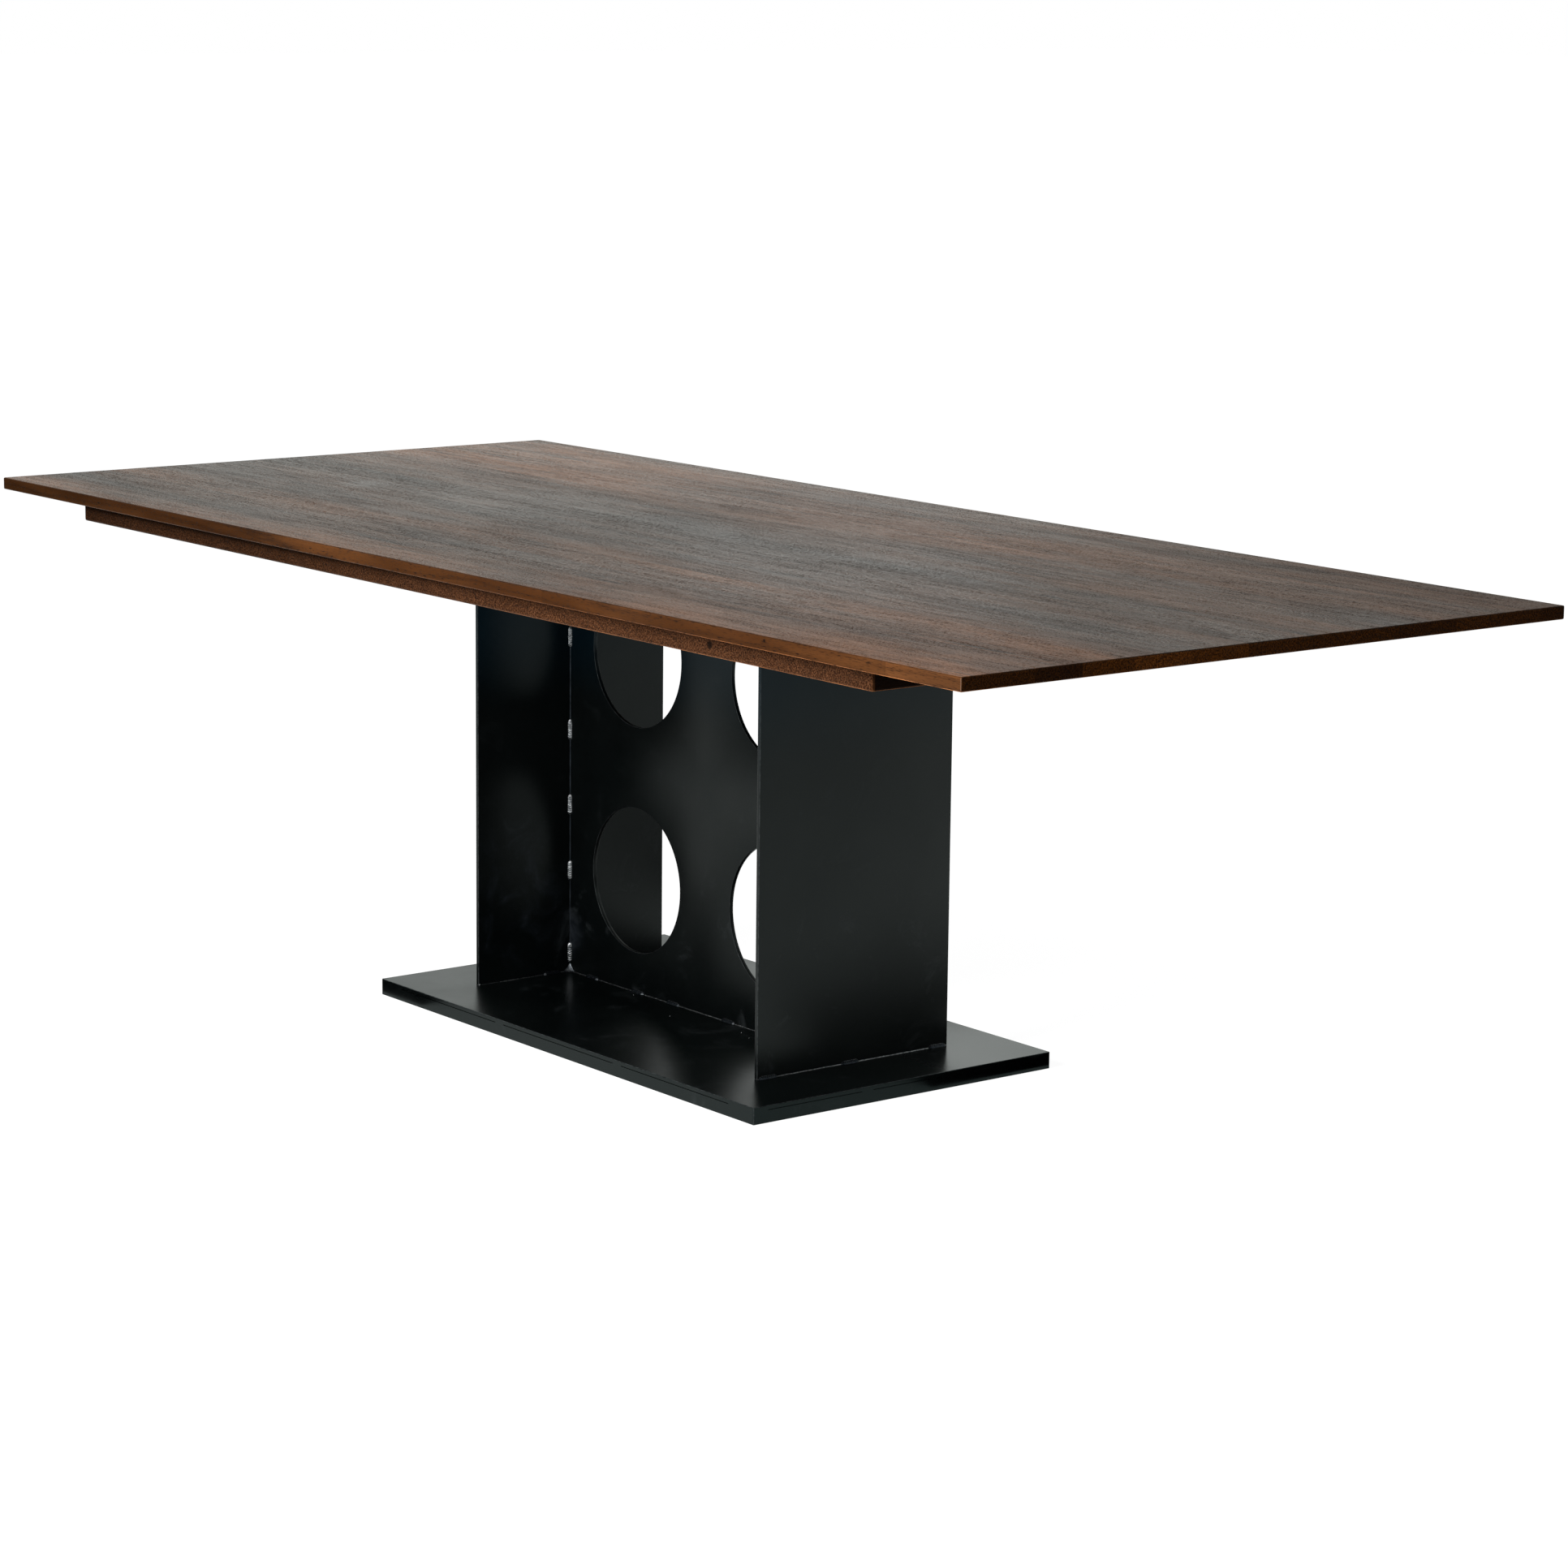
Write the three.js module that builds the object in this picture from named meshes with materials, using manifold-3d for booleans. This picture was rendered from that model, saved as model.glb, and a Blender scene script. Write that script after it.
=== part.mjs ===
// A butcher block table: a slab of walnut planks on a thicker under layer, carried by a welded
// pedestal of steel plate. X runs along the table, Y across it and Z up. The origin is on the
// floor, under the middle of the base. All sizes are in millimetres.
import * as THREE from "three";
import { ConvexGeometry } from "three/addons/geometries/ConvexGeometry.js";
import { mergeVertices } from "three/addons/utils/BufferGeometryUtils.js";
import Module from "manifold-3d";

// ---- Tabletop: planks glued edge to edge, listed from the front edge to the rear one ----
const TOP_LENGTH = 2438.4;
const TOP_THICKNESS = 19.05;
const PLANK_WIDTHS = [118, 78, 86, 96, 99, 86, 90, 90, 113, 78, 84, 48.8];
const TOP_CORNER_RADIUS = 2.5;
const TOP_ARRIS = 2;

// ---- Under layer: boards across the table, glued under the planks ----
const UNDER_THICKNESS = 31.75;
const UNDER_END_INSET = 209.55;
const UNDER_SIDE_INSET = 33.3;
const UNDER_BOARD_WIDTH = 126; // nominal: whole boards fill each half of the layer
const UNDER_CORNER_RADIUS = 6;
const UNDER_ARRIS = 3;

// ---- Pedestal: two end panels and a web between them, under a flange ----
const PEDESTAL_HEIGHT = 711.2;
const PANEL_SPACING = 711.2; // clear width between the end panels
const PANEL_WIDTH = 355.6;
const PANEL_THICKNESS = 6.35;
const PANEL_ARRIS = 0.7;
const WEB_THICKNESS = 6.35;
const WEB_ARRIS = 0.6;
const HOLE_RADIUS = 114.3;
const HOLE_PITCH = 355.6; // between hole centres, along the web and up it
const FLANGE_THICKNESS = 6.35;
const FLANGE_LIP = 12.7; // how far the flange stands out round the panels
const FLANGE_CLEARANCE = 3; // least gap between the flange and the under layer

// ---- Base: a thin plate on a thick one, welded along their seam and ground flush ----
const BASE_LENGTH = 965.2;
const BASE_WIDTH = 552.45;
const BASE_UPPER_THICKNESS = 6.35;
const BASE_LOWER_THICKNESS = 19.05;
const BASE_CORNER_RADIUS = 2;
const BASE_ARRIS = 1;
const SEAM_HEIGHT = 1.2; // the open stretches of the seam are a shallow groove
const SEAM_DEPTH = 1.5;
const SEAM_WELD_LENGTH = 21;
const SEAM_WELD_X = 153; // seam welds on the long sides, either side of the middle
const SEAM_WELD_Y = 70; // and on the short sides
const SEAM_RETURN_X = 59; // the corner welds' reach along the long sides
const SEAM_RETURN_Y = 26; // and along the short ones

// ---- Fillet welds: a thin root bead with stitches on it, laid by eye ----
const ROOT_LEG = 2;
const ROOT_STOP = 40; // how far the inner root beads stop short of a panel's free edge
const STITCH_LEG = 6;
const STITCH_LENGTH = 32;
const BEAD_BULGE = 0.8; // how full a bead is: 0.5 is a flat face, 1 a square one
const CORNER_FILLET = 13; // ground fillet where web, panel and base meet
// Where the stitches' middles lie, as shares of the joint's length.
const UPRIGHT_STITCHES = [0.042, 0.229, 0.379, 0.548, 0.756, 0.92]; // from the base up
const WEB_STITCHES = [0.087, 0.259, 0.389, 0.588, 0.767, 0.92]; // from left to right
const OUTER_STITCHES = [0.055, 0.48, 0.945]; // from front to rear
const INNER_STITCHES = [0.26]; // from the web outwards

// ---- Screws from the flange up into the planks, in a row on each side of the web ----
const SCREWS_PER_ROW = 4;
const SCREW_END_INSET = 90; // from the end panels
const SCREW_EDGE_INSET = 38; // from the panels' free edges
const SCREW_COVER = 5.4; // wood left above a screw's tip
const SCREW_DIAMETER = 5;
const SCREW_HEAD_DIAMETER = 13;
const SCREW_HEAD_HEIGHT = 4;
const SCREW_RIM_HEIGHT = 1.6;
const SCREW_TIP = 4;
const SLOT_LENGTH = 12; // slots run across the planks, so the wood can move
const SLOT_WIDTH = 6.4;
const PILOT_CLEARANCE = 0.3;

// ---- Fineness of round shapes, in segments ----
const ARRIS_SEGMENTS = 3;
const CORNER_SEGMENTS = 2;
const HOLE_SEGMENTS = 72;
const SCREW_SEGMENTS = 16;

// ---- Levels and half sizes that follow from the driving sizes ----
const topWidth = PLANK_WIDTHS.reduce((sum, width) => sum + width, 0);
const seamLevel = BASE_LOWER_THICKNESS;
const baseTop = seamLevel + BASE_UPPER_THICKNESS;
const flangeBottom = baseTop + PEDESTAL_HEIGHT;
const topBottom = flangeBottom + FLANGE_THICKNESS;
const tableHeight = topBottom + TOP_THICKNESS;
const underBottom = topBottom - UNDER_THICKNESS;
const webEnd = PANEL_SPACING / 2;
const panelOuter = webEnd + PANEL_THICKNESS;
const flangeHalfLength = panelOuter + FLANGE_LIP;
const flangeHalfWidth = PANEL_WIDTH / 2 + FLANGE_LIP;
const screwLength = FLANGE_THICKNESS + TOP_THICKNESS - SCREW_COVER; // under the head

const wood = (name, colour) =>
  new THREE.MeshStandardMaterial({ name, color: colour, roughness: 0.55, metalness: 0 });
const walnut = wood("walnut", 0x5a3620);
const walnutEndGrain = wood("walnut_cross_boards", 0x4e2f1c);
const blackSteel = new THREE.MeshStandardMaterial({
  name: "black_steel", color: 0x15181a, roughness: 0.42, metalness: 0.3,
});
const bareSteel = new THREE.MeshStandardMaterial({
  name: "bare_steel", color: 0xa9adb0, roughness: 0.35, metalness: 1,
});

// ---- Solids ----
const wasm = await Module();
wasm.setup();

// A closed geometry as a solid that can be joined and cut.
function solid(geometry) {
  const bare = geometry.index ? geometry.toNonIndexed() : geometry.clone();
  bare.deleteAttribute("normal");
  bare.deleteAttribute("uv");
  const merged = mergeVertices(bare, 1e-4);
  return new wasm.Manifold(new wasm.Mesh({
    numProp: 3,
    vertProperties: merged.getAttribute("position").array,
    triVerts: new Uint32Array(merged.index.array),
  }));
}

// The solid's faces as a geometry again.
function geometryOf(body) {
  const { vertProperties, triVerts } = body.getMesh();
  const geometry = new THREE.BufferGeometry();
  geometry.setAttribute("position", new THREE.BufferAttribute(vertProperties, 3));
  geometry.setIndex(new THREE.BufferAttribute(triVerts, 1));
  return geometry;
}

// A box between two corners.
function box(low, high) {
  const geometry = new THREE.BoxGeometry(1, 1, 1);
  const position = geometry.getAttribute("position");
  for (let i = 0; i < position.count; i++)
    position.setXYZ(i, ...[0, 1, 2].map((k) => (position.getComponent(i, k) > 0 ? high[k] : low[k])));
  return geometry;
}

// A rectangle's outline, its corners rounded by radius.
function roundedOutline(halfLength, halfWidth, radius) {
  const outline = new THREE.Shape();
  const x = halfLength - radius;
  const y = halfWidth - radius;
  outline.absarc(x, y, radius, 0, Math.PI / 2);
  outline.absarc(-x, y, radius, Math.PI / 2, Math.PI);
  outline.absarc(-x, -y, radius, Math.PI, Math.PI * 1.5);
  outline.absarc(x, -y, radius, Math.PI * 1.5, Math.PI * 2);
  return outline;
}

// A flat plate with rounded corners and rounded arrises, between two levels.
function roundedPlate(length, width, bottom, top, cornerRadius, arris) {
  const outline = roundedOutline(length / 2, width / 2, cornerRadius);
  const geometry = new THREE.ExtrudeGeometry(outline, {
    depth: top - bottom - 2 * arris,
    curveSegments: CORNER_SEGMENTS,
    bevelThickness: arris,
    bevelSize: arris,
    bevelOffset: -arris,
    bevelSegments: ARRIS_SEGMENTS,
  });
  return geometry.translate(0, 0, bottom + arris);
}

// ---- The assembly: a group for the top, one for the pedestal and one for the base ----
const table = new THREE.Group();
const group = (level) => {
  const part = new THREE.Group();
  part.position.z = onGrid(level);
  table.add(part);
  return part;
};

// Faces that touch have to share one plane exactly, so each vertex lies on a grid that 32-bit
// numbers hold without rounding.
function onGrid(value) {
  return Math.round(value * 256) / 256;
}

// Adds a piece, drawn in the table's frame, as a mesh placed at its own middle.
function addPiece(parent, name, geometry, material) {
  const flat = geometry.index ? geometry.toNonIndexed() : geometry;
  flat.computeBoundingBox();
  const middle = flat.boundingBox.getCenter(new THREE.Vector3());
  middle.set(onGrid(middle.x), onGrid(middle.y), onGrid(middle.z));
  const position = flat.getAttribute("position");
  for (let i = 0; i < position.count; i++)
    position.setXYZ(i,
      onGrid(position.getX(i)) - middle.x,
      onGrid(position.getY(i)) - middle.y,
      onGrid(position.getZ(i)) - middle.z);
  flat.computeVertexNormals();
  const mesh = new THREE.Mesh(flat, material);
  mesh.name = name;
  mesh.position.set(middle.x, middle.y, middle.z - parent.position.z);
  parent.add(mesh);
}

const twoDigits = (number) => String(number).padStart(2, "0");

// ---- Tabletop planks: the slab sawn into its planks, with the screws' pilot holes ----
function screwPlaces() {
  const endX = webEnd - SCREW_END_INSET;
  const sideY = PANEL_WIDTH / 2 - SCREW_EDGE_INSET;
  const pitch = (2 * endX) / (SCREWS_PER_ROW - 1);
  return [-sideY, sideY].flatMap((y) =>
    Array.from({ length: SCREWS_PER_ROW }, (_, i) => [i * pitch - endX, y]));
}

function pilotHole([x, y]) {
  const depth = TOP_THICKNESS - SCREW_COVER + PILOT_CLEARANCE;
  const radius = SCREW_DIAMETER / 2 + PILOT_CLEARANCE;
  const hole = new THREE.CylinderGeometry(radius, radius, 2 * depth, SCREW_SEGMENTS);
  return solid(hole.rotateX(Math.PI / 2).translate(x, y, topBottom));
}

function addTopPlanks(parent) {
  const slab = solid(roundedPlate(TOP_LENGTH, topWidth, topBottom, tableHeight,
    TOP_CORNER_RADIUS, TOP_ARRIS));
  const bored = screwPlaces().reduce((rest, place) => rest.subtract(pilotHole(place)), slab);
  let front = -topWidth / 2;
  PLANK_WIDTHS.forEach((width, i) => {
    const rear = front + width;
    const strip = solid(box([-TOP_LENGTH, onGrid(front), 0],
      [TOP_LENGTH, onGrid(rear), 2 * tableHeight]));
    addPiece(parent, `top_plank_${twoDigits(i + 1)}`, geometryOf(bored.intersect(strip)), walnut);
    front = rear;
  });
}

// ---- Under-layer boards: whole ones at the ends, and pairs of short ones beside the opening ----
function addUnderBoards(parent) {
  const length = TOP_LENGTH - 2 * UNDER_END_INSET;
  const width = topWidth - 2 * UNDER_SIDE_INSET;
  const layer = solid(roundedPlate(length, width, underBottom, topBottom + UNDER_ARRIS,
    UNDER_CORNER_RADIUS, UNDER_ARRIS));
  const boardsPerHalf = Math.round(length / 2 / UNDER_BOARD_WIDTH);
  const boardWidth = length / 2 / boardsPerHalf;
  const openBoards = Math.ceil((flangeHalfLength + FLANGE_CLEARANCE) / boardWidth);
  const openHalfWidth = flangeHalfWidth + FLANGE_CLEARANCE;
  const board = (name, i, front, rear) => {
    const low = [onGrid(i * boardWidth), onGrid(front), 0];
    const high = [onGrid((i + 1) * boardWidth), onGrid(rear), onGrid(topBottom)];
    addPiece(parent, name, geometryOf(layer.intersect(solid(box(low, high)))), walnutEndGrain);
  };
  for (let i = -boardsPerHalf; i < boardsPerHalf; i++) {
    const name = `under_board_${twoDigits(i + boardsPerHalf + 1)}`;
    if (i < -openBoards || i >= openBoards) board(name, i, -width, width);
    else {
      board(`${name}_front`, i, -width, -openHalfWidth);
      board(`${name}_rear`, i, openHalfWidth, width);
    }
  }
}

// ---- Pedestal plates ----
// An outline through points.
const outlineOf = (points) => new THREE.Shape(points.map(([x, y]) => new THREE.Vector2(x, y)));

// A rectangle's outline with its corners cut off.
function chamferedOutline(x, y, c) {
  return outlineOf([[x, c - y], [x, y - c], [x - c, y], [c - x, y], [-x, y - c], [-x, c - y],
    [c - x, -y], [x - c, -y]]);
}

function addEndPanel(parent, name, side) {
  const plan = chamferedOutline(PANEL_THICKNESS / 2, PANEL_WIDTH / 2, PANEL_ARRIS);
  const panel = new THREE.ExtrudeGeometry(plan, { depth: PEDESTAL_HEIGHT, bevelEnabled: false });
  panel.translate(side * (webEnd + PANEL_THICKNESS / 2), 0, baseTop);
  addPiece(parent, name, panel, blackSteel);
}

function addWebPlate(parent) {
  const half = PEDESTAL_HEIGHT / 2;
  const elevation = outlineOf([[-webEnd, -half], [webEnd, -half], [webEnd, half], [-webEnd, half]]);
  for (const x of [-HOLE_PITCH / 2, HOLE_PITCH / 2]) {
    for (const z of [-HOLE_PITCH / 2, HOLE_PITCH / 2]) {
      const hole = new THREE.Path();
      hole.absarc(x, z, HOLE_RADIUS + WEB_ARRIS, 0, Math.PI * 2, true);
      elevation.holes.push(hole);
    }
  }
  const web = new THREE.ExtrudeGeometry(elevation, {
    depth: WEB_THICKNESS - 2 * WEB_ARRIS,
    curveSegments: HOLE_SEGMENTS / 2,
    bevelThickness: WEB_ARRIS,
    bevelSize: WEB_ARRIS,
    bevelOffset: -WEB_ARRIS,
    bevelSegments: 1,
  });
  web.translate(0, 0, WEB_ARRIS - WEB_THICKNESS / 2).rotateX(Math.PI / 2);
  web.translate(0, 0, baseTop + half);
  addPiece(parent, "web_plate", web, blackSteel);
}

function addTopFlange(parent) {
  const plan = chamferedOutline(flangeHalfLength, flangeHalfWidth, PANEL_ARRIS);
  const radius = SLOT_WIDTH / 2;
  const reach = SLOT_LENGTH / 2 - radius;
  for (const [x, y] of screwPlaces()) {
    const slot = new THREE.Path();
    slot.absarc(x, y + reach, radius, 0, Math.PI);
    slot.absarc(x, y - reach, radius, Math.PI, Math.PI * 2);
    plan.holes.push(slot);
  }
  const flange = new THREE.ExtrudeGeometry(plan, {
    depth: FLANGE_THICKNESS, curveSegments: CORNER_SEGMENTS, bevelEnabled: false,
  });
  addPiece(parent, "top_flange", flange.translate(0, 0, flangeBottom), blackSteel);
}

function addTopScrews(parent) {
  const radius = SCREW_DIAMETER / 2;
  const head = SCREW_HEAD_DIAMETER / 2;
  const rim = SCREW_RIM_HEIGHT;
  const profile = [[0, -SCREW_HEAD_HEIGHT], [head - rim, -SCREW_HEAD_HEIGHT], [head, -rim], [head, 0],
    [radius, 0], [radius, screwLength - SCREW_TIP], [0, screwLength]];
  screwPlaces().forEach(([x, y], i) => {
    const points = profile.map(([r, z]) => new THREE.Vector2(r, z));
    const screw = new THREE.LatheGeometry(points, SCREW_SEGMENTS).rotateX(Math.PI / 2);
    addPiece(parent, `top_screw_${i + 1}`, screw.translate(x, y, flangeBottom), bareSteel);
  });
}

// ---- Base plates: one block, grooved along the open seam and parted at it ----
function openStretches(half, weldAt, cornerReach) {
  const inner = weldAt - SEAM_WELD_LENGTH / 2;
  const outer = weldAt + SEAM_WELD_LENGTH / 2;
  const end = half - cornerReach;
  return [[-end, -outer], [-inner, inner], [outer, end]];
}

function seamGrooves() {
  const [x, y] = [BASE_LENGTH / 2, BASE_WIDTH / 2];
  const [low, high] = [seamLevel - SEAM_HEIGHT / 2, seamLevel + SEAM_HEIGHT / 2];
  const grooves = [];
  for (const side of [-1, 1]) {
    const across = (edge) => [side * edge - SEAM_DEPTH, side * edge + SEAM_DEPTH];
    for (const [from, to] of openStretches(x, SEAM_WELD_X, SEAM_RETURN_X))
      grooves.push(box([from, across(y)[0], low], [to, across(y)[1], high]));
    for (const [from, to] of openStretches(y, SEAM_WELD_Y, SEAM_RETURN_Y))
      grooves.push(box([across(x)[0], from, low], [across(x)[1], to, high]));
  }
  return grooves;
}

function addBasePlates(parent) {
  const block = solid(roundedPlate(BASE_LENGTH, BASE_WIDTH, 0, baseTop, BASE_CORNER_RADIUS, BASE_ARRIS));
  const grooved = seamGrooves().reduce((rest, groove) => rest.subtract(solid(groove)), block);
  const slice = (bottom, top) =>
    solid(box([-BASE_LENGTH, -BASE_WIDTH, bottom], [BASE_LENGTH, BASE_WIDTH, top]));
  const seam = onGrid(seamLevel);
  addPiece(parent, "base_lower_plate", geometryOf(grooved.intersect(slice(-seam, seam))), blackSteel);
  addPiece(parent, "base_upper_plate", geometryOf(grooved.intersect(slice(seam, 2 * baseTop))), blackSteel);
}

// ---- Welds ----
const axis = (x, y, z) => new THREE.Vector3(x, y, z);

// A straight bead whose legs lie on two plates that meet at a right angle.
function bead(start, run, legA, legB, length, leg) {
  const [far, near] = [BEAD_BULGE * leg, BEAD_BULGE * leg * 0.5];
  const section = outlineOf([[0, 0], [leg, 0], [far, near], [near, far], [0, leg]]);
  const geometry = new THREE.ExtrudeGeometry(section, { depth: length, bevelEnabled: false });
  const rightHanded = legA.clone().cross(legB).dot(run) > 0;
  const basis = new THREE.Matrix4().makeBasis(...(rightHanded ? [legA, legB] : [legB, legA]), run);
  return solid(geometry.applyMatrix4(basis.setPosition(start)));
}

// A root bead along a whole joint, with stitches at the given shares of its length.
function weldRun(start, run, legA, legB, length, stitches) {
  const beads = [bead(start, run, legA, legB, length, ROOT_LEG)];
  for (const share of stitches) {
    const from = Math.max(0, share * length - STITCH_LENGTH / 2);
    const to = Math.min(length, share * length + STITCH_LENGTH / 2);
    beads.push(bead(start.clone().addScaledVector(run, from), run, legA, legB, to - from, STITCH_LEG));
  }
  return beads;
}

// The ground fillet in a corner where three plates meet.
function cornerFillet(corner, directions) {
  const tips = directions.map((d) => corner.clone().addScaledVector(d, CORNER_FILLET));
  return solid(new ConvexGeometry([corner, ...tips]));
}

function joined(beads) {
  return geometryOf(beads.reduce((all, next) => all.add(next)));
}

// The welds of the bay in front of the web (side -1) or behind it (side 1): one run of metal
// along the web's four edges and along the panels' inner faces.
function addBayWeld(parent, name, side) {
  const face = (side * WEB_THICKNESS) / 2;
  const outward = axis(0, side, 0);
  const innerLength = (PANEL_WIDTH - WEB_THICKNESS) / 2 - ROOT_STOP;
  const beads = [];
  for (const [level, upright] of [[baseTop, axis(0, 0, 1)], [flangeBottom, axis(0, 0, -1)]]) {
    beads.push(...weldRun(axis(-webEnd, face, level), axis(1, 0, 0), outward, upright,
      PANEL_SPACING, WEB_STITCHES));
    for (const end of [-1, 1])
      beads.push(...weldRun(axis(end * webEnd, face, level), outward, axis(-end, 0, 0), upright,
        innerLength, INNER_STITCHES));
  }
  for (const end of [-1, 1]) {
    const corner = axis(end * webEnd, face, baseTop);
    const inward = axis(-end, 0, 0);
    beads.push(...weldRun(corner, axis(0, 0, 1), inward, outward, PEDESTAL_HEIGHT, UPRIGHT_STITCHES));
    beads.push(cornerFillet(corner, [inward, outward, axis(0, 0, 1)]));
  }
  addPiece(parent, name, joined(beads), bareSteel);
}

// The weld along a panel's outer face, at the base or under the flange.
function addOuterWeld(parent, name, end, level, upright) {
  const start = axis(end * panelOuter, -PANEL_WIDTH / 2, level);
  const beads = weldRun(start, axis(0, 1, 0), axis(end, 0, 0), axis(0, 0, upright),
    PANEL_WIDTH, OUTER_STITCHES);
  addPiece(parent, name, joined(beads), bareSteel);
}

// ---- Put together ----
const base = group(0);
addBasePlates(base);

const pedestal = group(baseTop);
addWebPlate(pedestal);
for (const [side, end] of [["left", -1], ["right", 1]]) {
  addEndPanel(pedestal, `${side}_end_panel`, end);
  addOuterWeld(pedestal, `${side}_panel_base_weld`, end, baseTop, 1);
  addOuterWeld(pedestal, `${side}_panel_flange_weld`, end, flangeBottom, -1);
}
addBayWeld(pedestal, "front_bay_weld", -1);
addBayWeld(pedestal, "rear_bay_weld", 1);
addTopFlange(pedestal);

const tabletop = group(topBottom);
addTopPlanks(tabletop);
addUnderBoards(tabletop);
addTopScrews(tabletop);

export default table;
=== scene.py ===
"""The looks of the butcher block table: oiled walnut, blackened steel and bare weld metal."""
import math
import random
from collections.abc import Callable, Sequence
from dataclasses import dataclass
from typing import NamedTuple

import bmesh
import bpy
from mathutils import Matrix, Vector, noise


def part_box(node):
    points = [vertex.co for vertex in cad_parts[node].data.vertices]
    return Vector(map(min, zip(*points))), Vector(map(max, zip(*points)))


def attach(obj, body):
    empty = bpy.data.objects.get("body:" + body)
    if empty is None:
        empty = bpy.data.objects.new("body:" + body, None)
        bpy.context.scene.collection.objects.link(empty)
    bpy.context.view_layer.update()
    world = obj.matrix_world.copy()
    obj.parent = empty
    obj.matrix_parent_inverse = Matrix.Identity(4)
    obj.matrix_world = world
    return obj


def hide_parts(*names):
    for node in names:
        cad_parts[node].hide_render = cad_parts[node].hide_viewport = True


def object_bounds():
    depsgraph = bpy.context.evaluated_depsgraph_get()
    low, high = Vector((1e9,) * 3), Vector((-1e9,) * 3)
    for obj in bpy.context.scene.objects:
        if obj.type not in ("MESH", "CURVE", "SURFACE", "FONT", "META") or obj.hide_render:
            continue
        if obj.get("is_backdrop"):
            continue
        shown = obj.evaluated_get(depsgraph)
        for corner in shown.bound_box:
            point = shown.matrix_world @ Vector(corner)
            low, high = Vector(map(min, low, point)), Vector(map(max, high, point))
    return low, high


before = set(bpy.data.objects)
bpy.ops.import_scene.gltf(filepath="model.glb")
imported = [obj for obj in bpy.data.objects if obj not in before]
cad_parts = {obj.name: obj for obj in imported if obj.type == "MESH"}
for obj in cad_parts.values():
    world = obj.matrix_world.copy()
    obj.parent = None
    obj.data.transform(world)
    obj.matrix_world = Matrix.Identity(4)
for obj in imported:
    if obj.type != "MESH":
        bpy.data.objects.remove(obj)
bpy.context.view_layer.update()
MM = 0.001


# ---------------------------------------------------------------- colours, as linear light
PALE_WALNUT = (0.175, 0.066, 0.0215)
RED_WALNUT = (0.080, 0.0285, 0.0090)
RING_WALNUT = (0.030, 0.0120, 0.0056)
MINERAL_WALNUT = (0.017, 0.0125, 0.0105)
PORE_WALNUT = (0.007, 0.0042, 0.0030)
PALE_END_WALNUT = (0.165, 0.069, 0.0315)
DARK_END_WALNUT = (0.022, 0.0066, 0.0021)
# the colour of the painted highlight on the top's upright corners
PAINTED_CORNER_HIGHLIGHT_WALNUT = (0.50, 0.33, 0.23)

STEEL_DARK = (0.0004, 0.0008, 0.0009)
STEEL_LIGHT = (0.0012, 0.0019, 0.0020)
# the colour of the painted blue reflection near the pedestal's top
STEEL_PAINTED_BLUE_REFLECTION = (0.0008, 0.0150, 0.0270)
# the colour of wear and of painted highlights on the arrises
STEEL_WEAR_AND_HIGHLIGHT = (0.060, 0.066, 0.068)
STEEL_HAZE = (0.030, 0.034, 0.036)
STEEL_SMUDGE = (0.030, 0.036, 0.048)

WELD_DULL = (0.010, 0.0135, 0.018)
WELD_GREY = (0.30, 0.31, 0.32)
WELD_BRIGHT = (0.80, 0.81, 0.82)
ZINC_GREY = (0.46, 0.47, 0.50)
ZINC_BRIGHT = (0.66, 0.67, 0.69)

# ---------------------------------------------------------------- the light
SKY_COLOUR = (0.97, 0.985, 1.0)
SKY_STRENGTH = 0.34
MIRRORED_WHITE = (0.95, 1.0, 0.965)
FLOOR_COLOUR = (0.3, 0.3, 0.3)
FLOOR_GLOW = 0.92
FLOOR_REACH = 60.0


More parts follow.
